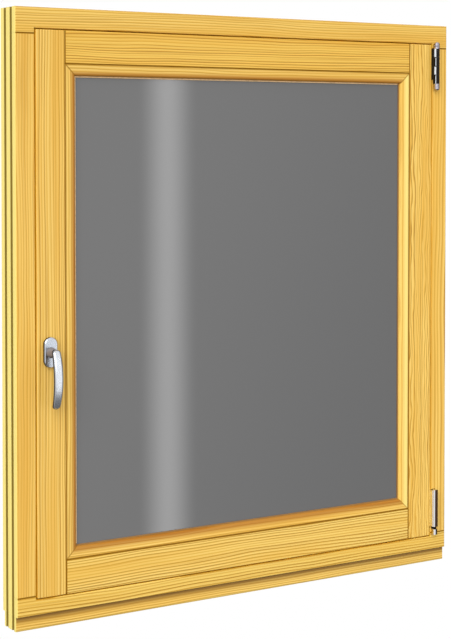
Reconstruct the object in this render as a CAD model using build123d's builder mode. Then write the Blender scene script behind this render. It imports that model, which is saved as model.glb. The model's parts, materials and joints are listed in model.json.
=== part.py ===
from build123d import *
import os

# Tilt and turn window in pine: a fixed frame on a sub-sill strip, one flush sash with double glazing,
# two hinges on the right and a lever handle on the left. Millimetres.
# X runs to the right seen from the room, Y to the outside and Z up.
# The origin is the middle of the underside of the sub-sill strip.

# Frame
frame_width = 1216.0
frame_height = 1360.0
frame_depth = 78.0
jamb_face = 46.5
head_face = 46.5
bottom_rail_face = 33.7
sash_recess_depth = 20.0
sash_recess_width = 13.5
stop_width = 20.0
bottom_stop_width = 14.0
stop_depth = 22.0
stop_slope_drop = 8.0
outer_groove_width = 10.0
outer_groove_depth = 3.0
outer_groove_spacing = 32.0
head_lug = 12.0
bottom_rail_lug = 9.0
edge_round = 2.0
joint_round = 1.2

# Sub-sill strip under the frame
strip_height = 33.5
strip_setback = 9.0

# Rain rail on the outside of the bottom rail
rain_rail_wall = 2.0
rain_rail_sash_clearance = 3.0
rain_rail_overhang = 8.0
rain_rail_drip = 10.0

# Sash
sash_gap = 3.0
sash_proud = 1.0
stile_face = 71.5
top_rail_face = 74.5
sash_bottom_rail_face = 78.0
overlap_clearance = 2.0
gear_gap = 12.0
sash_rear_clearance = 4.5
sash_rear_setback = 4.0
rear_lip_height = 18.0
rear_lip_slope = 9.0
sash_seal_thickness = 4.0
sash_seal_width = 6.0
sash_seal_inset = 1.5

# Glazing
pane_thickness = 4.0
pane_cavity = 16.0
pane_clearance = 4.0
spacer_width = 8.0
spacer_inset = 4.0
inner_seal_thickness = 2.0
inner_seal_width = 9.0
inner_seal_show = 3.0
outer_seal_thickness = 3.0
bead_width = 27.0
bead_thickness = 8.5
bead_setback = 0.6
bead_edge_chamfer = 1.6
bead_slope_drop = 1.6
bead_nose_radius = 6.5

# Hinges
hinge_axis_from_sash = 9.0
hinge_barrel_diameter = 15.0
hinge_pin_diameter = 7.0
hinge_bore_clearance = 0.2
hinge_leaf_thickness = 2.0
hinge_running_gap = 0.5
hinge_web_width = 9.0
hinge_tab_depth = 18.0
hinge_tab_lift = 10.5
knuckle_length = 22.5
knuckle_count = 4
knuckle_gap = 0.3
hinge_cap_length = 17.0
hinge_cap_chamfer = 3.6
hinge_cap_second_chamfer = 1.2
top_hinge_drop = 43.0
bottom_hinge_rise = 40.0
bottom_hinge_foot_height = 14.0
bottom_hinge_foot_gap = 7.0
bottom_hinge_cover_length = 96.0
bottom_hinge_cover_wall = 1.5
bottom_hinge_cover_chamfer = 1.4
bottom_hinge_pin_engagement = 30.0

# Handle
handle_from_edge = 80.5
handle_height = 623.0
rosette_width = 31.6
rosette_length = 68.0
rosette_thickness = 9.3
rosette_chamfer = 1.6
neck_diameter = 24.0
neck_tip_diameter = 15.0
neck_clearance = 0.3
neck_seat = 3.0
neck_collar = 3.0
neck_length = 36.0
lever_standoff = 28.0
lever_bow = 18.0
lever_length = 124.0
lever_top_rise = 9.0
lever_top_width = 19.0
lever_middle_width = 21.0
lever_tip_width = 17.0
lever_thickness = 11.0
lever_corner_radius = 8.2
lever_chamfer = 3.2
lever_second_chamfer = 1.2

# Places worked out from the sizes above
half_width = frame_width / 2
room_face = -frame_depth / 2
frame_bottom = strip_height
frame_top = frame_bottom + frame_height
frame_middle = (frame_bottom + frame_top) / 2
stop_start = frame_depth - stop_depth
groove_depths = [(frame_depth - outer_groove_spacing) / 2, (frame_depth + outer_groove_spacing) / 2]

sash_face = room_face - sash_proud
sash_half_width = half_width - jamb_face - sash_gap
sash_bottom = frame_bottom + bottom_rail_face + sash_gap
sash_top = frame_top - head_face - sash_gap
sash_middle = (sash_bottom + sash_top) / 2
sash_half_height = (sash_top - sash_bottom) / 2

# Depths and insets of the sash's outer steps, from its room face and its outer edge
overlap_thickness = sash_recess_depth + sash_proud - overlap_clearance
overlap_width = sash_recess_width - sash_gap + gear_gap
rear_step_depth = stop_start + sash_proud - sash_seal_thickness
rear_step_inset = sash_recess_width + stop_width - sash_gap + sash_rear_clearance
sash_thickness = frame_depth + sash_proud - sash_rear_setback

glazing_half_width = sash_half_width - stile_face
glazing_bottom = sash_bottom + sash_bottom_rail_face
glazing_top = sash_top - top_rail_face
glazing_middle = (glazing_bottom + glazing_top) / 2
glazing_half_height = (glazing_top - glazing_bottom) / 2
bead_back = bead_setback + bead_thickness
inner_pane_depth = bead_back + inner_seal_thickness
unit_thickness = 2 * pane_thickness + pane_cavity
rear_lip_depth = inner_pane_depth + unit_thickness + outer_seal_thickness

os.makedirs("parts", exist_ok=True)


def side_planes(half_across, bottom, top, face):
    """Planes on the four outer edges: local x points inwards, local y to the outside."""
    middle = (bottom + top) / 2
    return {
        "left": Plane((-half_across, face, middle), x_dir=(1, 0, 0), z_dir=(0, 0, 1)),
        "right": Plane((half_across, face, middle), x_dir=(-1, 0, 0), z_dir=(0, 0, -1)),
        "top": Plane((0, face, top), x_dir=(0, 0, -1), z_dir=(1, 0, 0)),
        "bottom": Plane((0, face, bottom), x_dir=(0, 0, 1), z_dir=(-1, 0, 0)),
    }


def facing_plane(depth, middle):
    """Plane parallel to the window, a given depth from the room side of the sash, facing outside."""
    return Plane((0, sash_face + depth, middle), x_dir=(1, 0, 0), z_dir=(0, 1, 0))


def frame_section(face, lug, stop_reach, slope_drop):
    """Section of a frame member: face with its corner lug, rebate, and the stop on the outside."""
    shelf = face + sash_recess_width
    stop = shelf + stop_reach
    return [
        (0, 0),
        (face + lug, 0),
        (face + lug, sash_recess_depth),
        (shelf, sash_recess_depth),
        (shelf, stop_start),
        (stop, stop_start),
        (stop - slope_drop, frame_depth),
        (0, frame_depth),
    ]


def cut_end_grooves():
    """Carries the outer grooves on across both ends of a full-width member."""
    for end in (-half_width, half_width):
        with Locations(*[(end, room_face + depth, frame_middle) for depth in groove_depths]):
            Box(2 * outer_groove_depth, outer_groove_width, 2 * frame_height, mode=Mode.SUBTRACT)


def rout_sash_recess(middle, lug):
    """Routs the recess for the sash overlap between the jambs, leaving a lug at each end."""
    recess_width = 2 * (half_width - jamb_face)
    with Locations((0, room_face + sash_recess_depth / 2, middle)):
        Box(recess_width, sash_recess_depth, lug, mode=Mode.SUBTRACT)


frame_sides = side_planes(half_width, frame_bottom, frame_top, room_face)
sash_sides = side_planes(sash_half_width, sash_bottom, sash_top, sash_face)
head_section = frame_section(head_face, head_lug, stop_width, 0)
jamb_section = frame_section(jamb_face, 0, stop_width, 0)
bottom_rail_section = frame_section(bottom_rail_face, bottom_rail_lug, bottom_stop_width, stop_slope_drop)

# Head and bottom rail run the full width; their ends carry the outer grooves on
with BuildPart() as frame_head:
    with BuildSketch(frame_sides["top"]):
        Polygon(*head_section, align=None)
        with Locations(*[(0, depth) for depth in groove_depths]):
            Rectangle(2 * outer_groove_depth, outer_groove_width, mode=Mode.SUBTRACT)
    extrude(amount=half_width, both=True)
    rout_sash_recess(frame_top - head_face - head_lug / 2, head_lug)
    fillet(frame_head.faces().sort_by(Axis.Y)[0].edges(), edge_round)
    cut_end_grooves()
frame_head.part.label = "frame_head"
export_step(frame_head.part, "parts/frame_head.step")

with BuildPart() as frame_bottom_rail:
    with BuildSketch(frame_sides["bottom"]):
        Polygon(*bottom_rail_section, align=None)
    extrude(amount=half_width, both=True)
    rout_sash_recess(frame_bottom + bottom_rail_face + bottom_rail_lug / 2, bottom_rail_lug)
    fillet(frame_bottom_rail.faces().sort_by(Axis.Y)[0].edges(), edge_round)
    cut_end_grooves()
frame_bottom_rail.part.label = "frame_bottom_rail"
export_step(frame_bottom_rail.part, "parts/frame_bottom_rail.step")

# Jambs stand between head and bottom rail, coped to the sections of both
for side in ("left", "right"):
    with BuildPart() as jamb:
        with BuildSketch(frame_sides[side]) as section:
            Polygon(*jamb_section, align=None)
            fillet(section.vertices().group_by(Axis.Y)[0], edge_round)
            with Locations(*[(0, depth) for depth in groove_depths]):
                Rectangle(2 * outer_groove_depth, outer_groove_width, mode=Mode.SUBTRACT)
        extrude(amount=frame_height / 2, both=True)
        for end, end_section in (("top", head_section), ("bottom", bottom_rail_section)):
            with BuildSketch(frame_sides[end]):
                Polygon(*end_section, align=None)
            extrude(amount=half_width, both=True, mode=Mode.SUBTRACT)
        fillet(jamb.faces().sort_by(Axis.Y)[0].edges().filter_by(Axis.X), joint_round)
    jamb.part.label = f"frame_{side}_jamb"
    export_step(jamb.part, f"parts/frame_{side}_jamb.step")

# The strip is set back on both faces and takes the outer grooves down its ends
with BuildPart() as sub_sill_strip:
    with Locations((0, 0, strip_height / 2)):
        Box(frame_width, frame_depth - 2 * strip_setback, strip_height)
    cut_end_grooves()
sub_sill_strip.part.label = "sub_sill_strip"
export_step(sub_sill_strip.part, "parts/sub_sill_strip.step")

# Rain rail: a thin bent section on the sloped stop of the bottom rail, between the jambs
rail_top = bottom_rail_face + sash_recess_width + bottom_stop_width
rail_upstand_top = bottom_rail_face + sash_gap + rear_step_inset - rain_rail_sash_clearance
rail_slope = stop_slope_drop / stop_depth
rail_nose_depth = frame_depth + rain_rail_overhang
rail_nose_rise = rail_top - rail_slope * (rail_nose_depth - stop_start)
rail_bend_depth = stop_start + rain_rail_wall
with BuildPart() as rain_rail:
    with BuildSketch(frame_sides["bottom"]):
        Polygon(
            (rail_top, stop_start),
            (rail_nose_rise, rail_nose_depth),
            (rail_nose_rise - rain_rail_drip, rail_nose_depth),
            (rail_nose_rise - rain_rail_drip, rail_nose_depth + rain_rail_wall),
            (rail_nose_rise + rain_rail_wall, rail_nose_depth + rain_rail_wall),
            (rail_top + rain_rail_wall, rail_bend_depth),
            (rail_upstand_top, rail_bend_depth),
            (rail_upstand_top, stop_start),
            align=None,
        )
    extrude(amount=half_width - jamb_face - sash_recess_width - stop_width, both=True)
rain_rail.part.label = "rain_rail"
export_step(rain_rail.part, "parts/rain_rail.step")

# Outline of the outer steps that run round the whole sash, behind its overlap
outer_steps = [
    (rear_step_inset, sash_thickness),
    (rear_step_inset, rear_step_depth),
    (overlap_width, rear_step_depth),
    (overlap_width, overlap_thickness),
    (0, overlap_thickness),
]


def sash_section(face):
    """Section of a sash member: glazing rebate and sloped rear lip inside, the outer steps outside."""
    lip = face + rear_lip_height
    return [
        (0, 0),
        (face, 0),
        (face, rear_lip_depth),
        (lip, rear_lip_depth),
        (lip, sash_thickness - rear_lip_slope),
        (lip - rear_lip_slope, sash_thickness),
        *outer_steps,
    ]


# Stiles run the full height; the outer steps carry on round their ends
sash_stiles = {}
for side in ("left", "right"):
    with BuildPart() as stile:
        with BuildSketch(sash_sides[side]) as section:
            Polygon(*sash_section(stile_face), align=None)
            fillet(section.vertices().group_by(Axis.Y)[0], edge_round)
        extrude(amount=sash_half_height, both=True)
        fillet(stile.faces().sort_by(Axis.Y)[0].edges().filter_by(Axis.X), edge_round)
        for end in ("top", "bottom"):
            with BuildSketch(sash_sides[end]):
                Polygon(*outer_steps, (0, sash_thickness), align=None)
            extrude(amount=sash_half_width, both=True, mode=Mode.SUBTRACT)
    stile.part.label = f"sash_{side}_stile"
    export_step(stile.part, f"parts/sash_{side}_stile.step")
    sash_stiles[side] = stile.part

# Rails fit between the stiles, coped over the rear lips
for end, face in (("top", top_rail_face), ("bottom", sash_bottom_rail_face)):
    with BuildPart() as rail:
        with BuildSketch(sash_sides[end]) as section:
            Polygon(*sash_section(face), align=None)
            fillet(section.vertices().group_by(Axis.Y)[0], edge_round)
        extrude(amount=glazing_half_width, both=True)
        add(sash_stiles["left"], mode=Mode.SUBTRACT)
        add(sash_stiles["right"], mode=Mode.SUBTRACT)
        fillet(rail.faces().sort_by(Axis.Y)[0].edges().filter_by(Axis.Z), joint_round)
    rail.part.label = f"sash_{end}_rail"
    export_step(rail.part, f"parts/sash_{end}_rail.step")

# Glazing beads: chamfered edge, long slope and round nose down to the glass, mitred at the corners
bead_sides = side_planes(glazing_half_width, glazing_bottom, glazing_top, sash_face)
bead_nose_start = bead_width - bead_nose_radius
bead_nose_depth = bead_setback + bead_slope_drop
bead_half_lengths = {
    "left": glazing_half_height,
    "right": glazing_half_height,
    "top": glazing_half_width,
    "bottom": glazing_half_width,
}
for side, half_length in bead_half_lengths.items():
    edge = bead_sides[side]
    with BuildPart() as bead:
        with BuildSketch(edge):
            with BuildLine():
                Polyline(
                    (bead_width, bead_nose_depth + bead_nose_radius),
                    (bead_width, bead_back),
                    (0, bead_back),
                    (0, bead_setback + bead_edge_chamfer),
                    (bead_edge_chamfer, bead_setback),
                    (bead_nose_start, bead_nose_depth),
                )
                RadiusArc(
                    (bead_nose_start, bead_nose_depth),
                    (bead_width, bead_nose_depth + bead_nose_radius),
                    -bead_nose_radius,
                )
            make_face()
        extrude(amount=half_length, both=True)
        for direction in (-1, 1):
            with BuildSketch(Plane(edge.origin, x_dir=edge.x_dir, z_dir=-edge.y_dir)):
                Polygon(
                    (0, direction * half_length),
                    (2 * bead_width, direction * half_length),
                    (2 * bead_width, direction * (half_length - 2 * bead_width)),
                    align=None,
                )
            extrude(amount=2 * bead_back, both=True, mode=Mode.SUBTRACT)
    bead.part.label = f"{side}_bead"
    export_step(bead.part, f"parts/{side}_bead.step")

# Sealed unit: two panes with a spacer, held between the bead seal and the rear lip seal
pane_depths = {
    "inner_pane": inner_pane_depth,
    "outer_pane": inner_pane_depth + pane_thickness + pane_cavity,
}
pane_width = 2 * (glazing_half_width - pane_clearance)
pane_height = 2 * (glazing_half_height - pane_clearance)
for name, depth in pane_depths.items():
    with BuildPart() as pane:
        with BuildSketch(facing_plane(depth, glazing_middle)):
            Rectangle(pane_width, pane_height)
        extrude(amount=pane_thickness)
    pane.part.label = name
    export_step(pane.part, f"parts/{name}.step")


def ring(half_across, half_up, inset, width):
    """Rectangular ring of a given width, inset from a rectangle with the given half sizes."""
    Rectangle(2 * (half_across - inset), 2 * (half_up - inset))
    Rectangle(2 * (half_across - inset - width), 2 * (half_up - inset - width), mode=Mode.SUBTRACT)


spacer_start = pane_clearance + spacer_inset
inner_seal_start = bead_width + inner_seal_show - inner_seal_width
with BuildPart() as glass_spacer:
    with BuildSketch(facing_plane(inner_pane_depth + pane_thickness, glazing_middle)):
        ring(glazing_half_width, glazing_half_height, spacer_start, spacer_width)
    extrude(amount=pane_cavity)
glass_spacer.part.label = "glass_spacer"
export_step(glass_spacer.part, "parts/glass_spacer.step")

with BuildPart() as inner_glazing_seal:
    with BuildSketch(facing_plane(bead_back, glazing_middle)):
        ring(glazing_half_width, glazing_half_height, inner_seal_start, inner_seal_width)
    extrude(amount=inner_seal_thickness)
inner_glazing_seal.part.label = "inner_glazing_seal"
export_step(inner_glazing_seal.part, "parts/inner_glazing_seal.step")

with BuildPart() as outer_glazing_seal:
    with BuildSketch(facing_plane(inner_pane_depth + unit_thickness, glazing_middle)):
        ring(glazing_half_width, glazing_half_height, spacer_start, rear_lip_height - spacer_start)
    extrude(amount=outer_seal_thickness)
outer_glazing_seal.part.label = "outer_glazing_seal"
export_step(outer_glazing_seal.part, "parts/outer_glazing_seal.step")

# Weather seal on the rear step of the sash, closed against the stop of the frame
seal_start = overlap_width + sash_seal_inset
with BuildPart() as sash_seal:
    with BuildSketch(facing_plane(rear_step_depth, sash_middle)):
        ring(sash_half_width, sash_half_height, seal_start, sash_seal_width)
    extrude(amount=sash_seal_thickness)
sash_seal.part.label = "sash_seal"
export_step(sash_seal.part, "parts/sash_seal.step")

# Hinge barrels stand in front of the right jamb, clear of the leaf on the jamb face
barrel_radius = hinge_barrel_diameter / 2
bore_radius = hinge_pin_diameter / 2 + hinge_bore_clearance
hinge_x = sash_half_width + hinge_axis_from_sash
hinge_y = room_face - hinge_leaf_thickness - hinge_running_gap - barrel_radius
leaf_left = sash_half_width + sash_gap + edge_round
leaf_right = hinge_x + barrel_radius


def block(left, right, front, back, bottom, top):
    """Box between two corners."""
    with Locations(((left + right) / 2, (front + back) / 2, (bottom + top) / 2)):
        Box(right - left, back - front, top - bottom)


def on_axis(radius, bottom, top, mode=Mode.ADD):
    """Cylinder on the hinge axis."""
    with Locations((hinge_x, hinge_y, (bottom + top) / 2)):
        Cylinder(radius, top - bottom, mode=mode)


def jamb_leaf(bottom, top):
    """Leaf on the jamb face behind the barrel."""
    block(leaf_left, leaf_right, room_face - hinge_leaf_thickness, room_face, bottom, top)


def jamb_knuckle(radius, bottom, top):
    """Knuckle with its web back to the jamb leaf."""
    on_axis(radius, bottom, top)
    block(hinge_x - hinge_web_width / 2, hinge_x + hinge_web_width / 2, hinge_y, room_face, bottom, top)


def sash_tab(bottom, top):
    """Tab in the gap beside the sash, reaching out to the hinge axis."""
    tab_right = sash_half_width + hinge_leaf_thickness
    block(sash_half_width, tab_right, hinge_y, sash_face + hinge_tab_depth, bottom, top)


def sash_knuckle(radius, bottom, top):
    """Knuckle with its web across to the sash tab."""
    on_axis(radius, bottom, top)
    half_web = hinge_leaf_thickness / 2
    block(sash_half_width, hinge_x, hinge_y - half_web, hinge_y + half_web, bottom, top)


# Top hinge: knuckles of jamb and sash by turns
knuckles_top = frame_top - top_hinge_drop - hinge_cap_length
knuckles_bottom = knuckles_top - knuckle_count * knuckle_length
knuckle_floors = [knuckles_top - (index + 1) * knuckle_length for index in range(knuckle_count)]
with BuildPart() as top_hinge_frame_leaf:
    jamb_leaf(knuckles_bottom, knuckles_top)
    for floor in knuckle_floors[0::2]:
        jamb_knuckle(barrel_radius, floor + knuckle_gap / 2, floor + knuckle_length - knuckle_gap / 2)
    on_axis(bore_radius, knuckles_bottom, knuckles_top, mode=Mode.SUBTRACT)
top_hinge_frame_leaf.part.label = "top_hinge_frame_leaf"
export_step(top_hinge_frame_leaf.part, "parts/top_hinge_frame_leaf.step")

with BuildPart() as top_hinge_sash_leaf:
    sash_tab(knuckles_bottom + hinge_tab_lift, knuckles_top)
    for floor in knuckle_floors[0::2]:
        on_axis(barrel_radius + hinge_running_gap, floor, floor + knuckle_length, mode=Mode.SUBTRACT)
    for floor in knuckle_floors[1::2]:
        sash_knuckle(barrel_radius, floor + knuckle_gap / 2, floor + knuckle_length - knuckle_gap / 2)
    on_axis(bore_radius, knuckles_bottom, knuckles_top, mode=Mode.SUBTRACT)
top_hinge_sash_leaf.part.label = "top_hinge_sash_leaf"
export_step(top_hinge_sash_leaf.part, "parts/top_hinge_sash_leaf.step")

# Pin with a domed cap at each end
with BuildPart() as top_hinge_pin:
    on_axis(hinge_pin_diameter / 2, knuckles_bottom, knuckles_top)
    on_axis(barrel_radius, knuckles_top, knuckles_top + hinge_cap_length)
    on_axis(barrel_radius, knuckles_bottom - hinge_cap_length, knuckles_bottom)
    for size in (hinge_cap_chamfer, hinge_cap_second_chamfer):
        ends = top_hinge_pin.faces().filter_by(Axis.Z).sort_by(Axis.Z)
        chamfer(ends[0].edges() + ends[-1].edges(), size)
top_hinge_pin.part.label = "top_hinge_pin"
export_step(top_hinge_pin.part, "parts/top_hinge_pin.step")

# Bottom hinge: a footed bracket on the jamb, a pivot pin, and a sash knuckle with a clip-on cover
foot_bottom = frame_bottom + bottom_hinge_rise
foot_top = foot_bottom + bottom_hinge_foot_height
cover_bottom = foot_top + bottom_hinge_foot_gap
cover_top = cover_bottom + bottom_hinge_cover_length
sleeve_top = cover_top - bottom_hinge_cover_wall
sleeve_radius = barrel_radius - bottom_hinge_cover_wall
pin_top = cover_bottom + bottom_hinge_pin_engagement
with BuildPart() as bottom_hinge_bracket:
    jamb_leaf(foot_bottom, cover_top)
    jamb_knuckle(sleeve_radius, foot_bottom, foot_top)
    on_axis(bore_radius, foot_bottom, foot_top, mode=Mode.SUBTRACT)
bottom_hinge_bracket.part.label = "bottom_hinge_bracket"
export_step(bottom_hinge_bracket.part, "parts/bottom_hinge_bracket.step")

with BuildPart() as bottom_hinge_pin:
    on_axis(hinge_pin_diameter / 2, foot_bottom, pin_top)
bottom_hinge_pin.part.label = "bottom_hinge_pin"
export_step(bottom_hinge_pin.part, "parts/bottom_hinge_pin.step")

with BuildPart() as bottom_hinge_sash_leaf:
    sash_tab(cover_bottom, sleeve_top)
    sash_knuckle(sleeve_radius, cover_bottom, sleeve_top)
    on_axis(bore_radius, cover_bottom, pin_top, mode=Mode.SUBTRACT)
bottom_hinge_sash_leaf.part.label = "bottom_hinge_sash_leaf"
export_step(bottom_hinge_sash_leaf.part, "parts/bottom_hinge_sash_leaf.step")

# The cover clips over the front of the sash knuckle and closes its top
cover_back = hinge_y - hinge_leaf_thickness / 2 - hinge_running_gap
with BuildPart() as bottom_hinge_cover:
    on_axis(barrel_radius, cover_bottom, cover_top)
    chamfer(bottom_hinge_cover.edges().group_by(Axis.Z)[-1], bottom_hinge_cover_chamfer)
    on_axis(sleeve_radius, cover_bottom, sleeve_top, mode=Mode.SUBTRACT)
    with Locations((hinge_x, cover_back + barrel_radius, (cover_bottom + sleeve_top) / 2)):
        Box(2 * barrel_radius, 2 * barrel_radius, sleeve_top - cover_bottom, mode=Mode.SUBTRACT)
bottom_hinge_cover.part.label = "bottom_hinge_cover"
export_step(bottom_hinge_cover.part, "parts/bottom_hinge_cover.step")

# Handle: an oval rosette on the left stile with a bore for the neck of the lever
handle_x = handle_from_edge - half_width
handle_front = Plane((handle_x, sash_face, handle_height), x_dir=(1, 0, 0), z_dir=(0, -1, 0))
handle_side = Plane((handle_x, sash_face, handle_height), x_dir=(0, 1, 0), z_dir=(1, 0, 0))
with BuildPart() as handle_rosette:
    with BuildSketch(handle_front):
        SlotOverall(rosette_length, rosette_width, rotation=90)
    extrude(amount=rosette_thickness)
    chamfer(handle_rosette.faces().sort_by(Axis.Y)[0].edges(), rosette_chamfer)
    with BuildSketch(handle_front):
        Circle(neck_diameter / 2 + neck_clearance)
    extrude(amount=rosette_thickness, mode=Mode.SUBTRACT)
handle_rosette.part.label = "handle_rosette"
export_step(handle_rosette.part, "parts/handle_rosette.step")

# The lever is an arched grip cut to its front outline, on a tapered neck that turns in the rosette.
# The arched band runs past the outline at both ends.
lever_middle = -lever_length / 2
lever_front = -lever_standoff - lever_thickness / 2
lever_back = -lever_standoff + lever_thickness / 2
band_top = 2 * lever_top_rise
band_bottom = -lever_length - lever_top_rise
with BuildPart() as handle_lever:
    with BuildSketch(handle_side):
        with BuildLine():
            ThreePointArc(
                (lever_front, band_top),
                (lever_front - lever_bow, lever_middle),
                (lever_front, band_bottom),
            )
            Line((lever_front, band_bottom), (lever_back, band_bottom))
            ThreePointArc(
                (lever_back, band_bottom),
                (lever_back - lever_bow, lever_middle),
                (lever_back, band_top),
            )
            Line((lever_back, band_top), (lever_front, band_top))
        make_face()
    extrude(amount=lever_middle_width, both=True)
    with BuildSketch(handle_front) as outline:
        with BuildLine():
            ThreePointArc(
                (-lever_top_width / 2, lever_top_rise),
                (-lever_middle_width / 2, lever_middle),
                (-lever_tip_width / 2, -lever_length),
            )
            Line((-lever_tip_width / 2, -lever_length), (lever_tip_width / 2, -lever_length))
            ThreePointArc(
                (lever_tip_width / 2, -lever_length),
                (lever_middle_width / 2, lever_middle),
                (lever_top_width / 2, lever_top_rise),
            )
            Line((lever_top_width / 2, lever_top_rise), (-lever_top_width / 2, lever_top_rise))
        make_face()
        fillet(outline.vertices(), lever_corner_radius)
    extrude(amount=2 * lever_standoff, mode=Mode.INTERSECT)
    for size in (lever_chamfer, lever_second_chamfer):
        broad_faces = handle_lever.faces().sort_by(SortBy.AREA)[-2:]
        chamfer(broad_faces[0].edges() + broad_faces[1].edges(), size)
    with BuildSketch(handle_side):
        Polygon(
            (-neck_seat, 0),
            (-neck_seat, neck_diameter / 2),
            (-rosette_thickness - neck_collar, neck_diameter / 2),
            (-neck_length, neck_tip_diameter / 2),
            (-neck_length, 0),
            align=None,
        )
    revolve(axis=Axis((handle_x, sash_face, handle_height), (0, 1, 0)))
handle_lever.part.label = "handle_lever"
export_step(handle_lever.part, "parts/handle_lever.step")
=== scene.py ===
import json
import math

import bpy
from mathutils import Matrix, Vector


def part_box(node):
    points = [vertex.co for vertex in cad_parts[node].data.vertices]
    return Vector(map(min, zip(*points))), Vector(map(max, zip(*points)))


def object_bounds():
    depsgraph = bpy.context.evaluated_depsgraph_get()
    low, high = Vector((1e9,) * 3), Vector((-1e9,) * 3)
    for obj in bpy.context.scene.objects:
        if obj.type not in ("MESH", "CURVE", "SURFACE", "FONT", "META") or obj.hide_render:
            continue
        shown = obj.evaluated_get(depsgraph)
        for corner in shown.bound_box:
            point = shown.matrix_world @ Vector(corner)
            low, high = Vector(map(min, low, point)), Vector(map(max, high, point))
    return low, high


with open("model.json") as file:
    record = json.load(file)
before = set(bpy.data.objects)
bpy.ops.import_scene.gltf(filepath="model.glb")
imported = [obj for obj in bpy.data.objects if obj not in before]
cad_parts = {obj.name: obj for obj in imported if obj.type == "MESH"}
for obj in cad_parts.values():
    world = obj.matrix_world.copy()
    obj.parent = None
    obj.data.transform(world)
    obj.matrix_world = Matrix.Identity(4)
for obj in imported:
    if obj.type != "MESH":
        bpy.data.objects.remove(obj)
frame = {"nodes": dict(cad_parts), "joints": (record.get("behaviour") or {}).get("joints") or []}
cad_low, cad_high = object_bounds()
nodes = frame["nodes"]

MM = 0.001

# Camera left of the window and turned right, in millimetres and degrees; its shift is in picture heights
CAMERA_PLACE = (-2065.4, -3305.6, 1095.2)
CAMERA_YAW = 31.484
CAMERA_PITCH = 1.793
CAMERA_LENS = 90.557
CAMERA_SENSOR = 36.0
CAMERA_SHIFT = -0.20
CAMERA_CLIP = 200000.0

# Colours of the lacquered pine, and of the painted light and shade on it
PINE_LIGHT = (0.980, 0.670, 0.170, 1.0)
PINE_MIDDLE = (0.860, 0.500, 0.082, 1.0)
PINE_WARM = (0.840, 0.440, 0.046, 1.0)
PINE_DARK = (0.430, 0.190, 0.014, 1.0)
# dark joint lines between boards, and painted shade along the rounded outer front edge of the frame
PINE_JOINT_AND_EDGE_SHADE = (0.360, 0.165, 0.001, 1.0)
# painted light: paler wood where the left side of the frame is lit
PINE_LIT_SIDE = (0.960, 0.780, 0.200, 1.0)
# painted shade in the side grooves and along the foot of the sub-sill strip
PINE_DEEP_SHADE = (0.300, 0.215, 0.034, 1.0)
PINE_SHADE = (0.230, 0.110, 0.018, 1.0)
# painted light: brighter, warmer wood inside the shaded gap round the sash
PINE_GAP_LIGHT = (0.960, 0.620, 0.020, 1.0)
# painted shade on the noses of the beads
BEAD_SHADE = (0.440, 0.160, 0.012, 1.0)
# painted highlight on the flat of the right bead
BEAD_HIGHLIGHT = (1.000, 0.800, 0.235, 1.0)

# Colours of the glass, the metals and the seals, among them painted shade and painted dark reflection
# the glass goes from GLASS_LOW to the lighter GLASS_HIGH towards the top left as a painted reflection
GLASS_LOW = (0.118, 0.118, 0.119, 1.0)
GLASS_HIGH = (0.164, 0.164, 0.164, 1.0)
# dark steel of the bottom hinge pin, and painted dark reflection on the top hinge and the bottom bracket
DARK_STEEL_AND_DARK_REFLECTION = (0.012, 0.010, 0.008, 1.0)
# painted dark reflection on the bottom hinge's cover
BROWN_REFLECTION = (0.050, 0.022, 0.008, 1.0)
CHROME = (0.92, 0.92, 0.94, 1.0)
KNUCKLE_CHROME = (0.84, 0.91, 1.00, 1.0)
PIN_CHROME = (0.56, 0.52, 0.58, 1.0)
# painted dark reflection on the pin caps, and the dark groove under them
PIN_REFLECTION_AND_GROOVE = (0.180, 0.165, 0.180, 1.0)
SILVER = (0.82, 0.86, 0.92, 1.0)
# painted shade on the walls and back of the lever
LEVER_SHADE_GREY = (0.030, 0.030, 0.034, 1.0)
NECK_GREY = (0.230, 0.205, 0.205, 1.0)
ROSETTE_SILVER = (0.64, 0.69, 0.77, 1.0)
# painted shade on the rosette's wall
ROSETTE_SHADE_GREY = (0.035, 0.030, 0.026, 1.0)
MILL_ALUMINIUM = (0.74, 0.74, 0.72, 1.0)
SPACER_GREY = (0.55, 0.55, 0.55, 1.0)
SEAL_DARK = (0.050, 0.036, 0.022, 1.0)
SEALANT = (0.880, 0.600, 0.300, 1.0)
# painted shade on the sealant along the bottom and the right
SEALANT_SHADE = (0.330, 0.170, 0.045, 1.0)

# Lines of the window, read from its solids, in metres
half_width = cad_high.x
frame_top = cad_high.z
room_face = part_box("frame_head")[0].y
strip_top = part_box("sub_sill_strip")[1].z
jamb_low, jamb_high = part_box("frame_left_jamb")
glazing_low, left_bead_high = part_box("left_bead")
glazing_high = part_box("right_bead")[1]
bead_width = left_bead_high.x - glazing_low.x
hinge_axis = sum(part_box("bottom_hinge_pin"), Vector()) / 2
hinge_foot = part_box("bottom_hinge_bracket")[0].z
knuckles_low, knuckles_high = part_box("top_hinge_frame_leaf")
sash_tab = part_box("top_hinge_sash_leaf")[0].x
rosette_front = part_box("handle_rosette")[0].y
lever_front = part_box("handle_lever")[0].y
handle_axis = Vector(frame["joints"][0]["pos_m"])


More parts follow.
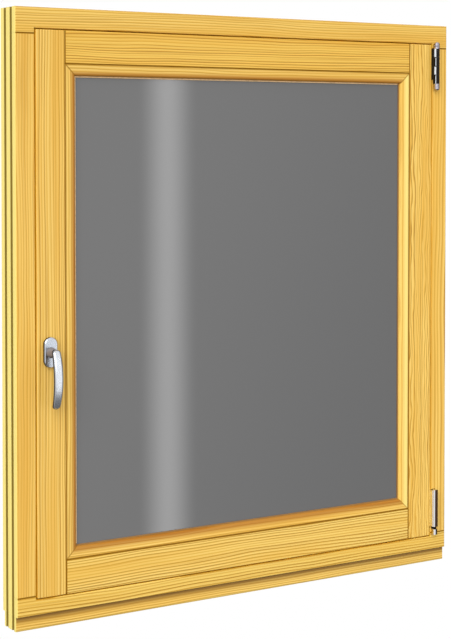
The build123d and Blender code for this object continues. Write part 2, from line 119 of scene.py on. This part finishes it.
class Graph:
    """Adds and links shader nodes of one tree."""

    def __init__(self, tree):
        self.tree = tree

    def node(self, kind, **settings):
        made = self.tree.nodes.new(kind)
        for name, value in settings.items():
            setattr(made, name, value)
        return made

    def feed(self, socket, value):
        """Links a socket or sets a plain value."""
        if isinstance(value, bpy.types.NodeSocket):
            self.tree.links.new(value, socket)
        else:
            socket.default_value = value

    def math(self, operation, *values):
        made = self.node("ShaderNodeMath", operation=operation)
        for socket, value in zip(made.inputs, values):
            self.feed(socket, value)
        return made.outputs[0]

    def product(self, values):
        """All the amounts multiplied."""
        total = values[0]
        for value in values[1:]:
            total = self.math("MULTIPLY", total, value)
        return total

    def most(self, values):
        """The largest of several amounts."""
        largest = values[0]
        for value in values[1:]:
            largest = self.math("MAXIMUM", largest, value)
        return largest

    def vector(self, x=0.0, y=0.0, z=0.0):
        made = self.node("ShaderNodeCombineXYZ")
        for socket, value in zip(made.inputs, (x, y, z)):
            self.feed(socket, value)
        return made.outputs[0]

    def stretched(self, place, times):
        return self.vector(*[self.math("MULTIPLY", part, factor) for part, factor in zip(place, times)])

    def noise(self, place, scale, detail=2.0, roughness=0.5):
        made = self.node("ShaderNodeTexNoise")
        self.feed(made.inputs["Vector"], place)
        self.feed(made.inputs["Scale"], scale)
        self.feed(made.inputs["Detail"], detail)
        self.feed(made.inputs["Roughness"], roughness)
        return made.outputs["Fac"]

    def spread(self, value, low, high, out_low=0.0, out_high=1.0):
        """Maps a range smoothly onto another one."""
        made = self.node("ShaderNodeMapRange", interpolation_type="SMOOTHSTEP")
        names = ("Value", "From Min", "From Max", "To Min", "To Max")
        for name, number in zip(names, (value, low, high, out_low, out_high)):
            self.feed(made.inputs[name], number)
        return made.outputs["Result"]

    def near(self, value, middle, half, soft, amount=1.0):
        """The amount where a value lies within half of a middle, fading to nothing over soft."""
        away = self.math("ABSOLUTE", self.math("SUBTRACT", value, middle))
        return self.spread(away, half + soft, half, 0.0, amount)

    def ramp(self, factor, stops):
        made = self.node("ShaderNodeValToRGB")
        elements = made.color_ramp.elements
        while len(elements) < len(stops):
            elements.new(1.0)
        for element, (place, colour) in zip(elements, stops):
            element.position = place
            element.color = colour
        self.feed(made.inputs["Fac"], factor)
        return made.outputs["Color"]

    def mix(self, factor, first, second, blend="MIX"):
        made = self.node("ShaderNodeMix", data_type="RGBA", blend_type=blend)
        self.feed(made.inputs["Factor"], factor)
        self.feed(made.inputs["A"], first)
        self.feed(made.inputs["B"], second)
        return made.outputs["Result"]

    def bump(self, height, distance, strength):
        made = self.node("ShaderNodeBump")
        made.inputs["Distance"].default_value = distance
        made.inputs["Strength"].default_value = strength
        self.feed(made.inputs["Height"], height)
        return made.outputs["Normal"]

    def object_place(self):
        """X, Y and Z of the surface in the window's own frame."""
        place = self.node("ShaderNodeTexCoord").outputs["Object"]
        parts = self.node("ShaderNodeSeparateXYZ")
        self.feed(parts.inputs[0], place)
        return parts.outputs[0], parts.outputs[1], parts.outputs[2]


def new_material(name, **values):
    """Material with one principled shader; values go straight on its sockets."""
    material = bpy.data.materials.new(name)
    material.use_nodes = True
    shader = material.node_tree.nodes["Principled BSDF"]
    for socket, value in values.items():
        shader.inputs[socket.replace("_", " ")].default_value = value
    return material, Graph(material.node_tree), shader


def dress(node, material):
    """Gives a CAD node its material."""
    slots = nodes[node].material_slots
    if not slots:
        nodes[node].data.materials.append(material)
    for slot in slots:
        slot.material = material


def grey(value):
    return (value, value, value, 1.0)


def darker(colour, share):
    return tuple(share * part for part in colour[:3]) + (1.0,)


# Painted light and shade on the frame: light on its left side, shade in the grooves there, light in the gap
# round the sash, and shade on the rounded front edge
SIDE_START = 1.6 * MM
SIDE_FULL = 0.2 * MM
SIDE_AMOUNT = 0.97
GROOVE_MIDDLE = 16.0 * MM
GROOVE_HALF = 5.8 * MM
GROOVE_SOFT = 0.8 * MM
GROOVE_AMOUNT = 0.95
GROOVE_REACH = 16.0 * MM
GAP_MARGIN = 20.0 * MM
GAP_FOOT = 24.0 * MM
GAP_BACK = -8.0 * MM
GAP_FADE = 4.0 * MM
FRONT_SOFT = 0.4 * MM
RIM_START = 2.6 * MM
RIM_FULL = 0.8 * MM
RIM_FRONT = 0.6 * MM
RIM_AMOUNT = 0.45
EDGE_ROUND = 1.8 * MM
front_edge = room_face + EDGE_ROUND


def side_light_and_groove_shade(graph, colour, place):
    """Painted light: paler wood on the lit left side of the frame; painted shade: darker wood in the
    grooves of both sides.
    """
    x, y, _ = place
    side = graph.spread(x, SIDE_START - half_width, SIDE_FULL - half_width, 0.0, SIDE_AMOUNT)
    groove = graph.near(graph.math("ABSOLUTE", y), GROOVE_MIDDLE, GROOVE_HALF, GROOVE_SOFT, GROOVE_AMOUNT)
    reach = half_width - GROOVE_REACH
    outer = graph.spread(graph.math("ABSOLUTE", x), reach, reach + GAP_FADE)
    colour = graph.mix(side, colour, PINE_LIT_SIDE)
    return graph.mix(graph.math("MULTIPLY", groove, outer), colour, PINE_DEEP_SHADE)


def gap_painted_light(graph, colour, place):
    """Painted light: brighter, warmer wood in the shaded gap between the frame and the sash."""
    x, y, z = place
    across, top, foot = half_width - GAP_MARGIN, frame_top - GAP_MARGIN, strip_top + GAP_FOOT
    hidden = graph.product([
        graph.spread(graph.math("ABSOLUTE", x), across, across - GAP_FADE),
        graph.spread(z, top, top - GAP_FADE),
        graph.spread(z, foot, foot + GAP_FADE),
        graph.spread(y, front_edge - FRONT_SOFT, front_edge + FRONT_SOFT),
        graph.spread(y, GAP_BACK, GAP_BACK - GAP_FADE),
    ])
    return graph.mix(hidden, colour, PINE_GAP_LIGHT)


def edge_shade(axis, at):
    """Painted shade: thin darker line on the rounded front edge of the frame."""

    def mark(graph, colour, place):
        near_edge = graph.spread(place["XYZ".index(axis)], at - RIM_START, at - RIM_FULL, 0.0, RIM_AMOUNT)
        front = graph.spread(place[1], front_edge + RIM_FRONT, front_edge)
        return graph.mix(graph.math("MULTIPLY", near_edge, front), colour, PINE_JOINT_AND_EDGE_SHADE)

    return mark


# Joint lines between the boards
JOINT_HALF = 1.4 * MM
JOINT_SOFT = 1.0 * MM


def line_at(axis, at):
    """Dark joint line across a board."""

    def mark(graph, colour, place):
        value = place["XYZ".index(axis)]
        return graph.mix(graph.near(value, at, JOINT_HALF, JOINT_SOFT), colour, PINE_JOINT_AND_EDGE_SHADE)

    return mark


def line_both(at):
    """Dark joint lines on both ends of a rail."""

    def mark(graph, colour, place):
        out = graph.math("ABSOLUTE", place[0])
        return graph.mix(graph.near(out, at, JOINT_HALF, JOINT_SOFT), colour, PINE_JOINT_AND_EDGE_SHADE)

    return mark


# Shade on the sub-sill strip
SHADE_START = 0.30
SHADE_AMOUNT = 0.95
FOOT_START = 5.0 * MM
FOOT_FULL = 1.0 * MM
FOOT_AMOUNT = 0.55


def strip_shade(graph, colour, place):
    """Painted shadow under the overhang of the bottom rail and a painted shade line along the foot of the
    strip.
    """
    shade = graph.spread(place[2], SHADE_START * strip_top, strip_top, 0.0, SHADE_AMOUNT)
    foot = graph.spread(place[2], FOOT_START, FOOT_FULL, 0.0, FOOT_AMOUNT)
    return graph.mix(foot, graph.mix(shade, colour, PINE_SHADE), PINE_DEEP_SHADE)


# Lines on the glazing beads, painted shade on the noses and a painted highlight on the right bead
BEAD_LINE_START = 4.2 * MM
BEAD_LINE_FULL = 1.6 * MM
MITRE_START = 2.8 * MM
MITRE_FULL = 1.2 * MM


def bead_marks(start, full, amount, edge, mitre, tint=BEAD_SHADE):
    """Dark outer edge, a tint from start to full of the width, and mitre lines of a glazing bead; the tint
    is painted shade, and painted highlight where it is light.
    """

    def mark(graph, colour, place):
        x, _, z = place
        across = graph.math("SUBTRACT", glazing_high.x, graph.math("ABSOLUTE", x))
        above = graph.math("SUBTRACT", glazing_high.z, z)
        below = graph.math("SUBTRACT", z, glazing_low.z)
        upright = graph.math("MINIMUM", above, below)
        inset = graph.math("MINIMUM", across, upright)
        nose = graph.spread(inset, start * bead_width, full * bead_width, 0.0, amount)
        outer_line = graph.spread(inset, BEAD_LINE_START, BEAD_LINE_FULL, 0.0, edge)
        off_mitre = graph.math("ABSOLUTE", graph.math("SUBTRACT", across, upright))
        mitre_line = graph.spread(off_mitre, MITRE_START, MITRE_FULL, 0.0, mitre)
        colour = graph.mix(nose, colour, tint)
        colour = graph.mix(outer_line, colour, PINE_JOINT_AND_EDGE_SHADE)
        return graph.mix(mitre_line, colour, PINE_JOINT_AND_EDGE_SHADE)

    return mark


# Pine: darkness over one ring, and how each pattern stretches along the grain, across it and in depth
RING_DARKNESS = [(0.0, 0.0), (0.45, 0.06), (0.70, 0.50), (0.84, 1.0), (0.94, 0.80), (1.0, 0.0)]
RING_UNEVENNESS = 1.6
RING_UNEVEN_SCALE = 70.0
PATCH_SCALE = 110.0
PATCH_SEED = 3.0
PATCH_RANGE = (0.30, 0.66)
PATCH_LEAST = 0.35
SWAY_ACROSS = 5.0
FIBRE_STRETCH = (9.0, 620.0, 620.0)
FIBRE_RANGE = (0.45, 0.75)
FIBRE_AMOUNT = 0.35
FIBRE_HEIGHT = 0.5
STREAK_STRETCH = (2.0, 300.0, 0.0)
STREAK_RANGE = (0.50, 0.72)
STREAK_AMOUNT = 0.40
CLOUD_STRETCH = (1.1, 22.0, 22.0)
CLOUD_RANGE = (0.40, 0.72)
CLOUD_AMOUNT = 0.55
MIDDLE_WOOD = 0.35
GRAIN_DEPTH = 0.15 * MM


def pine(name, along, ring, pith, seed, strength, marks, sway=14.0, pace=2.2, tint=(1.0, 1.0, 1.0)):
    """Straight-grained lacquered pine: growth rings round a pith (across, depth) that runs along X or Z."""
    material, graph, shader = new_material(
        name, Roughness=0.42, Coat_Weight=0.08, Coat_Roughness=0.25, Specular_IOR_Level=0.20)
    place = graph.object_place()
    x, y, z = place
    length, across = (x, z) if along == "X" else (z, x)
    off_pith = [graph.math("SUBTRACT", value, at * MM) for value, at in zip((across, y), pith)]
    reach = graph.node("ShaderNodeVectorMath", operation="LENGTH")
    graph.feed(reach.inputs[0], graph.vector(*off_pith))

    far = graph.math("ADD", length, seed)
    shifted = graph.vector(far, graph.math("MULTIPLY", across, SWAY_ACROSS), y)
    radius = graph.math("MULTIPLY_ADD", graph.noise(shifted, pace), sway * MM, reach.outputs["Value"])
    uneven = graph.noise(graph.vector(radius, seed), RING_UNEVEN_SCALE)
    phase = graph.math("MULTIPLY_ADD", uneven, RING_UNEVENNESS, graph.math("DIVIDE", radius, ring * MM))
    late = graph.ramp(graph.math("FRACT", phase), [(part, grey(dark)) for part, dark in RING_DARKNESS])
    patch = graph.noise(graph.vector(radius, seed + PATCH_SEED), PATCH_SCALE, detail=1.0)
    patchy = graph.spread(patch, *PATCH_RANGE, PATCH_LEAST, 1.0)
    lateness = graph.math("MULTIPLY", late, graph.math("MULTIPLY", patchy, strength))

    fibre = graph.noise(graph.stretched((length, across, y), FIBRE_STRETCH), 1.0, detail=3.0, roughness=0.6)
    streak = graph.noise(graph.stretched((far, radius, y), STREAK_STRETCH), 1.0, roughness=0.6)
    cloud = graph.noise(graph.stretched((far, across, y), CLOUD_STRETCH), 1.0)

    colour = graph.ramp(lateness, [(0.0, PINE_LIGHT), (MIDDLE_WOOD, PINE_MIDDLE), (1.0, PINE_DARK)])
    colour = graph.mix(graph.spread(streak, *STREAK_RANGE, 0.0, STREAK_AMOUNT), colour, PINE_DARK)
    colour = graph.mix(graph.spread(fibre, *FIBRE_RANGE, 0.0, FIBRE_AMOUNT), colour, PINE_MIDDLE)
    colour = graph.mix(graph.spread(cloud, *CLOUD_RANGE, 0.0, CLOUD_AMOUNT), colour, PINE_WARM)
    colour = graph.mix(1.0, colour, (*tint, 1.0), "MULTIPLY")
    for mark in marks:
        colour = mark(graph, colour, place)
    graph.feed(shader.inputs["Base Color"], colour)
    height = graph.math("MULTIPLY_ADD", fibre, FIBRE_HEIGHT, lateness)
    graph.feed(shader.inputs["Normal"], graph.bump(height, GRAIN_DEPTH, strength=0.5))
    return material


# Boards: direction of the grain, ring spacing and pith in millimetres, seed, strength, sway, tint and marks
top_joint = line_at("Z", jamb_high.z)
bottom_joint = line_at("Z", jamb_low.z)
rail_ends = line_both(glazing_high.x)
right_edge_shade = edge_shade("X", half_width)
boards = {
    "frame_head": dict(along="X", ring=3.7, pith=(1620, 260), seed=1.3, strength=1.1,
                       tint=(0.95, 0.95, 0.93),
                       marks=[top_joint, side_light_and_groove_shade, right_edge_shade, edge_shade("Z", frame_top), gap_painted_light]),
    "frame_bottom_rail": dict(along="X", ring=5.0, pith=(-170, 190), seed=4.1, strength=1.1,
                              tint=(0.96, 0.98, 0.91),
                              marks=[bottom_joint, side_light_and_groove_shade, right_edge_shade, gap_painted_light]),
    "sub_sill_strip": dict(along="X", ring=5.0, pith=(-230, 140), seed=7.7, strength=1.2,
                           marks=[strip_shade, side_light_and_groove_shade]),
    "frame_left_jamb": dict(along="Z", ring=4.9, pith=(-830, 210), seed=2.9, strength=0.75,
                            tint=(0.95, 0.91, 0.86),
                            marks=[top_joint, bottom_joint, side_light_and_groove_shade, gap_painted_light]),
    "frame_right_jamb": dict(along="Z", ring=6.4, pith=(790, 240), seed=6.3, strength=1.0,
                             marks=[top_joint, bottom_joint, side_light_and_groove_shade, right_edge_shade, gap_painted_light]),
    "sash_top_rail": dict(along="X", ring=4.1, pith=(1520, 180), seed=8.8, strength=1.15, sway=16.0,
                          tint=(0.93, 0.88, 0.68),
                          marks=[rail_ends, line_at("Z", glazing_high.z), gap_painted_light]),
    "sash_bottom_rail": dict(along="X", ring=4.5, pith=(-90, 200), seed=5.2, strength=1.5,
                             tint=(1.0, 1.05, 1.14),
                             marks=[rail_ends, line_at("Z", glazing_low.z), gap_painted_light]),
    "sash_left_stile": dict(along="Z", ring=4.9, pith=(-770, 190), seed=3.6, strength=0.95, sway=12.0,
                            tint=(0.96, 0.95, 0.97),
                            marks=[line_at("X", glazing_low.x), gap_painted_light]),
    "sash_right_stile": dict(along="Z", ring=5.6, pith=(470, -78), seed=9.4, strength=1.25,
                             sway=22.0, pace=6.5,
                             marks=[line_at("X", glazing_high.x), gap_painted_light]),
    "left_bead": dict(along="Z", ring=4.9, pith=(-700, 150), seed=10.1, strength=1.0,
                      marks=[bead_marks(start=0.36, full=0.85, amount=0.90, edge=0.65, mitre=0.8)]),
    "right_bead": dict(along="Z", ring=4.9, pith=(720, 170), seed=11.7, strength=1.0,
                       marks=[bead_marks(start=0.75, full=0.35, amount=0.90, edge=0.75, mitre=0.5,
                                         tint=BEAD_HIGHLIGHT)]),
    "top_bead": dict(along="X", ring=5.0, pith=(1480, 160), seed=12.9, strength=0.8,
                     tint=(0.97, 0.95, 0.93),
                     marks=[bead_marks(start=0.45, full=0.90, amount=0.85, edge=0.80, mitre=0.8)]),
    "bottom_bead": dict(along="X", ring=5.0, pith=(-60, 150), seed=13.3, strength=1.3,
                        marks=[bead_marks(start=0.20, full=0.90, amount=0.85, edge=0.90, mitre=0.5)]),
}
for node, board in boards.items():
    dress(node, pine("pine_" + node, **board))

# Glass: how much its tone follows the height, and the range over which it changes
GLASS_RISE = 0.4
GLASS_RANGE = (-0.5, 0.9)


def glass(name):
    """Grey float glass, a little lighter towards the top left as a painted reflection."""
    material, graph, shader = new_material(name, Roughness=0.03, IOR=1.52)
    x, _, z = graph.object_place()
    drift = graph.math("SUBTRACT", graph.math("MULTIPLY", z, GLASS_RISE), x)
    colour = graph.ramp(graph.spread(drift, *GLASS_RANGE), [(0.0, GLASS_LOW), (1.0, GLASS_HIGH)])
    graph.feed(shader.inputs["Base Color"], colour)
    return material


# Metals
GLOSS_SCALE = 400.0
GLOSS_RANGE = (0.2, 0.8)
WORN_RANGE = (0.3, 0.8)
WORN_SHARE = 0.97
DULL_MIRROR = 0.1
BRIGHT_GLOSS = 0.5
DULL_GLOSS = 0.15
PLAIN = (1.0, 1.0, 1.0)
UPRIGHT = (1.0, 1.0, 0.1)
LENGTHWISE = (0.05, 1.0, 1.0)


def metal(name, colour, roughness, streaks, stretch=PLAIN, shades=(), mirror=1.0):
    """Metal with fine streaks in its gloss; shades are duller colours with the places they take over, used
    for painted shade, painted dark reflection, dark joint lines and the lever's grey neck.
    """
    material, graph, shader = new_material(name, Metallic=1.0)
    place = graph.object_place()
    streak = graph.noise(graph.stretched(place, stretch), GLOSS_SCALE, detail=3.0)
    low, high = roughness - streaks / 2, roughness + streaks / 2
    graph.feed(shader.inputs["Roughness"], graph.spread(streak, *GLOSS_RANGE, low, high))
    tone = graph.mix(graph.spread(streak, *WORN_RANGE), colour, darker(colour, WORN_SHARE))
    amounts = [find(graph, place) for _, find in shades]
    for amount, (shade, _) in zip(amounts, shades):
        tone = graph.mix(amount, tone, shade)
    if shades:
        dull = graph.most(amounts)
        graph.feed(shader.inputs["Metallic"], graph.spread(dull, 0.0, 1.0, mirror, DULL_MIRROR))
        gloss = graph.spread(dull, 0.0, 1.0, BRIGHT_GLOSS, DULL_GLOSS)
        graph.feed(shader.inputs["Specular IOR Level"], gloss)
    graph.feed(shader.inputs["Base Color"], tone)
    return material


# Painted dark reflection on the sides of the hinges that face right and a little into the room; each range
# is millimetres off the axis
DARK_SIDE = (0.778, -0.628)
BARREL_DARK = (-2.4, -0.6)
CAP_DARK = (2.5, 5.5)
COVER_DARK = (-0.8, 1.2)
FOOT_DARK = (1.0, 3.0)
FRONT_HALF_START = 1.5 * MM
FRONT_HALF_FULL = -1.0 * MM
KNUCKLE_COUNT = 4
KNUCKLE_LINE = 0.9 * MM
CAP_LINE = 0.8 * MM
LINE_SOFT = 0.8 * MM
EDGE_SOFT = 0.4 * MM
LEAF_STANDOFF = 3.0 * MM
TAB_WIDTH = 2.2 * MM
FOOT_HEIGHT = 14.1 * MM
CAP_GROOVE_RISE = 6.5 * MM
leaf_front = room_face - LEAF_STANDOFF
tab_edge = sash_tab + TAB_WIDTH
foot_top = hinge_foot + FOOT_HEIGHT
cap_groove = knuckles_high.z + CAP_GROOVE_RISE
knuckle_length = (knuckles_high.z - knuckles_low.z) / KNUCKLE_COUNT
knuckle_joints = [knuckles_low.z + index * knuckle_length for index in range(1, KNUCKLE_COUNT)]


def turned_dark(graph, place, start, full):
    """Painted dark reflection on the front half of a hinge barrel from start to full millimetres off its
    axis, on the dark side.
    """
    right = graph.math("SUBTRACT", place[0], hinge_axis.x)
    back = graph.math("SUBTRACT", place[1], hinge_axis.y)
    side_x, side_y = DARK_SIDE
    aside = graph.math(
        "ADD", graph.math("MULTIPLY", right, side_x), graph.math("MULTIPLY", back, side_y))
    behind = graph.math(
        "SUBTRACT", graph.math("MULTIPLY", back, side_x), graph.math("MULTIPLY", right, side_y))
    front_half = graph.spread(behind, FRONT_HALF_START, FRONT_HALF_FULL)
    return graph.math("MULTIPLY", graph.spread(aside, start * MM, full * MM), front_half)


def cap_side(graph, place):
    """Painted dark reflection on the edge of a pin cap, and the dark groove under the cap."""
    groove = graph.near(place[2], cap_groove, CAP_LINE, LINE_SOFT)
    return graph.most([turned_dark(graph, place, *CAP_DARK), groove])


def leaf_side(graph, place):
    """Painted dark reflection on the dark half of the barrel, the dark joints between its knuckles, and the
    leaf behind it darkened.
    """
    joints = [graph.near(place[2], at, KNUCKLE_LINE, LINE_SOFT) for at in knuckle_joints]
    behind = graph.spread(place[1], leaf_front, leaf_front + EDGE_SOFT)
    return graph.most([turned_dark(graph, place, *BARREL_DARK), behind, *joints])


def tab_side(graph, place):
    """As the leaf, with the tab beside the sash."""
    tab = graph.spread(place[0], tab_edge + EDGE_SOFT, tab_edge)
    return graph.most([leaf_side(graph, place), tab])


def above_foot(graph, place):
    """Painted dark reflection on the dark side of the bracket's foot, and all of the bracket above the foot
    darkened.
    """
    above = graph.spread(place[2], foot_top - EDGE_SOFT, foot_top)
    return graph.most([turned_dark(graph, place, *FOOT_DARK), above])


def cover_side(graph, place):
    """Painted dark reflection on the dark half of the cover."""
    return turned_dark(graph, place, *COVER_DARK)


# Painted shade on the walls of the rosette and the lever, and the lever's grey neck; the lever's front is
# an arch, its centre below the handle's axis
ROSETTE_EDGE_START = 1.4 * MM
ROSETTE_EDGE_FULL = 2.0 * MM
ARCH_RADIUS = 166.84 * MM
ARCH_DROP = 57.5 * MM
LEVER_WALL_START = 0.6 * MM
LEVER_WALL_FULL = 3.6 * MM
NECK_START = 10.4 * MM
NECK_FULL = 11.2 * MM
arch_depth = lever_front + ARCH_RADIUS
arch_height = handle_axis.z - ARCH_DROP


def rosette_wall_shade(graph, place):
    """Painted shade on the rosette behind its front face."""
    return graph.spread(place[1], rosette_front + ROSETTE_EDGE_START, rosette_front + ROSETTE_EDGE_FULL)


def behind_front(graph, place):
    """Depth behind the arched front of the lever."""
    off_middle = graph.math("SUBTRACT", place[2], arch_height)
    square = graph.math("MULTIPLY", off_middle, off_middle)
    rise = graph.math("SQRT", graph.math("SUBTRACT", ARCH_RADIUS * ARCH_RADIUS, square))
    return graph.math("SUBTRACT", place[1], graph.math("SUBTRACT", arch_depth, rise))


def lever_wall_shade(graph, place):
    """Painted shade on the walls and the back of the lever."""
    return graph.spread(behind_front(graph, place), LEVER_WALL_START, LEVER_WALL_FULL)


def lever_neck(graph, place):
    """The neck behind the grip of the lever."""
    return graph.spread(behind_front(graph, place), NECK_START, NECK_FULL)


# Seals
MOTTLE_SCALE = 160.0
MOTTLE_DEPTH = 0.1 * MM
MOTTLE_SHARE = 0.75
MOTTLE_RANGE = (0.3, 0.75)
LOW_SEAL_START = 34.0 * MM
LOW_SEAL_FULL = 32.0 * MM


def rubber(name, colour, shade_colour=None):
    """Matt rubber or sealant with a faint mottle; the darker colour given takes over along the bottom and
    the right as painted shade.
    """
    material, graph, shader = new_material(name, Roughness=0.7)
    place = graph.object_place()
    mottle = graph.noise(graph.vector(*place), MOTTLE_SCALE, detail=3.0)
    tone = graph.mix(graph.spread(mottle, *MOTTLE_RANGE), colour, darker(colour, MOTTLE_SHARE))
    if shade_colour:
        right = graph.spread(place[0], glazing_high.x - LOW_SEAL_START, glazing_high.x - LOW_SEAL_FULL)
        low = graph.spread(place[2], glazing_low.z + LOW_SEAL_START, glazing_low.z + LOW_SEAL_FULL)
        tone = graph.mix(graph.most([right, low]), tone, shade_colour)
    graph.feed(shader.inputs["Base Color"], tone)
    graph.feed(shader.inputs["Normal"], graph.bump(mottle, MOTTLE_DEPTH, strength=0.4))
    return material


# Finishes of all that isn't wood; the numbers of a metal are its roughness and how far streaks change it
pane_glass = glass("pane_glass")
sealant = rubber("glazing_sealant", SEALANT, SEALANT_SHADE)
finishes = {
    "inner_pane": pane_glass,
    "outer_pane": pane_glass,
    "rain_rail": metal("rain_rail_aluminium", MILL_ALUMINIUM, 0.34, 0.12, LENGTHWISE),
    "sash_seal": rubber("seal_rubber", SEAL_DARK),
    "glass_spacer": metal("spacer_aluminium", SPACER_GREY, 0.50, 0.10),
    "inner_glazing_seal": sealant,
    "outer_glazing_seal": sealant,
    "top_hinge_frame_leaf": metal("hinge_leaf_chrome", KNUCKLE_CHROME, 0.16, 0.06, UPRIGHT,
                                  [(DARK_STEEL_AND_DARK_REFLECTION, leaf_side)], mirror=0.2),
    "top_hinge_sash_leaf": metal("hinge_tab_chrome", KNUCKLE_CHROME, 0.16, 0.06, UPRIGHT,
                                 [(DARK_STEEL_AND_DARK_REFLECTION, tab_side)], mirror=0.2),
    "top_hinge_pin": metal("hinge_pin_chrome", PIN_CHROME, 0.18, 0.10, shades=[(PIN_REFLECTION_AND_GROOVE, cap_side)]),
    "bottom_hinge_bracket": metal("hinge_foot_chrome", CHROME, 0.16, 0.06, UPRIGHT,
                                  [(DARK_STEEL_AND_DARK_REFLECTION, above_foot)]),
    "bottom_hinge_pin": metal("hinge_dark_steel", DARK_STEEL_AND_DARK_REFLECTION, 0.38, 0.10),
    "bottom_hinge_sash_leaf": metal("hinge_plain_chrome", CHROME, 0.20, 0.06, UPRIGHT),
    "bottom_hinge_cover": metal("hinge_cover_chrome", CHROME, 0.20, 0.06, UPRIGHT,
                                [(BROWN_REFLECTION, cover_side)]),
    "handle_rosette": metal("handle_rosette_silver", ROSETTE_SILVER, 0.24, 0.05, UPRIGHT,
                            [(ROSETTE_SHADE_GREY, rosette_wall_shade)]),
    "handle_lever": metal("handle_lever_silver", SILVER, 0.24, 0.04, UPRIGHT,
                          [(LEVER_SHADE_GREY, lever_wall_shade), (NECK_GREY, lever_neck)]),
}
for node, material in finishes.items():
    dress(node, material)

# Studio, in metres
FLOOR_REACH = 40.0
DOME_REACH = 60.0


def link(obj):
    bpy.context.scene.collection.objects.link(obj)
    return obj


def sheet(name, corners):
    """Flat stage piece through four corners."""
    mesh = bpy.data.meshes.new(name)
    mesh.from_pydata(corners, [], [(0, 1, 2, 3)])
    obj = link(bpy.data.objects.new(name, mesh))
    return obj


def seen_by(obj, camera=False, glossy=False):
    """Stage pieces light nothing: they show to the camera or in reflections only."""
    obj.visible_camera = camera
    obj.visible_glossy = glossy
    obj.visible_diffuse = False
    obj.visible_transmission = False
    obj.visible_shadow = False


def glow_material(name, strength):
    """White that glows by itself."""
    return new_material(
        name, Base_Color=grey(0.0), Roughness=1.0, Specular_IOR_Level=0.0,
        Emission_Color=grey(1.0), Emission_Strength=strength)


floor = sheet("floor", [(-FLOOR_REACH, -FLOOR_REACH, 0), (FLOOR_REACH, -FLOOR_REACH, 0),
                        (FLOOR_REACH, FLOOR_REACH, 0), (-FLOOR_REACH, FLOOR_REACH, 0)])
floor.data.materials.append(glow_material("floor_white", 1.0)[0])
seen_by(floor, camera=True)

# White backdrop all round
bpy.ops.mesh.primitive_uv_sphere_add(radius=DOME_REACH)
dome = bpy.context.object
dome.name = "backdrop"
dome.data.materials.append(glow_material("backdrop_white", 1.0)[0])
seen_by(dome, camera=True)

# Surroundings: light from above and from the left, dim from below and from the far right
SKY_STRENGTH = 0.85
GROUND_STRENGTH = 0.14
GROUND_EDGE = (-0.62, -0.26)
RIGHT_SHARE = 0.35
RIGHT_EDGE = (0.92, 0.68)
world = bpy.data.worlds.new("studio")
bpy.context.scene.world = world
world.use_nodes = True
sky = Graph(world.node_tree)
direction = sky.node("ShaderNodeSeparateXYZ")
sky.feed(direction.inputs[0], sky.node("ShaderNodeTexCoord").outputs["Generated"])
upward = sky.spread(direction.outputs[2], *GROUND_EDGE, GROUND_STRENGTH, SKY_STRENGTH)
leftward = sky.spread(direction.outputs[0], *RIGHT_EDGE, RIGHT_SHARE, 1.0)
background = world.node_tree.nodes["Background"]
background.inputs["Color"].default_value = grey(1.0)
sky.feed(background.inputs["Strength"], sky.math("MULTIPLY", upward, leftward))

# Strip of light that the glass mirrors as an upright band
BAND_DEPTH = -4.0
BAND_LOW = -1.6
BAND_HIGH = 2.6
BAND_MIDDLE = 2.0225
BAND_HALF = 0.1805
BAND_STRENGTH = 4.6
band_left, band_right = BAND_MIDDLE - BAND_HALF, BAND_MIDDLE + BAND_HALF
band = sheet("band_light", [(band_left, BAND_DEPTH, BAND_LOW), (band_right, BAND_DEPTH, BAND_LOW),
                            (band_right, BAND_DEPTH, BAND_HIGH), (band_left, BAND_DEPTH, BAND_HIGH)])
band_glow, band_graph, band_shader = glow_material("band_glow", 0.0)
band_place = band_graph.object_place()[0]
band_away = band_graph.math("ABSOLUTE", band_graph.math("SUBTRACT", band_place, BAND_MIDDLE))
band_graph.feed(band_shader.inputs["Emission Strength"],
                band_graph.spread(band_away, BAND_HALF, 0.0, SKY_STRENGTH, BAND_STRENGTH))
band.data.materials.append(band_glow)
seen_by(band, glossy=True)

# Two broad soft suns: the key from the left of the room, the fill from the outside
SUN_ANGLE = 50.0


def add_sun(name, energy, towards):
    sun = link(bpy.data.objects.new(name, bpy.data.lights.new(name, "SUN")))
    sun.data.energy = energy
    sun.data.angle = math.radians(SUN_ANGLE)
    sun.rotation_euler = Vector(towards).to_track_quat("-Z", "Y").to_euler()


add_sun("key_sun", energy=1.8, towards=(0.60, 0.62, -0.50))
add_sun("fill_sun", energy=1.2, towards=(-0.50, -0.70, -0.50))

camera = link(bpy.data.objects.new("camera", bpy.data.cameras.new("camera")))
camera.location = Vector(CAMERA_PLACE) * MM
camera.rotation_euler = (math.radians(90 - CAMERA_PITCH), 0.0, math.radians(-CAMERA_YAW))
camera.data.sensor_width = CAMERA_SENSOR
camera.data.lens = CAMERA_LENS
camera.data.shift_y = CAMERA_SHIFT
camera.data.clip_end = CAMERA_CLIP * MM
bpy.context.scene.camera = camera
bpy.context.scene.view_settings.view_transform = "Standard"
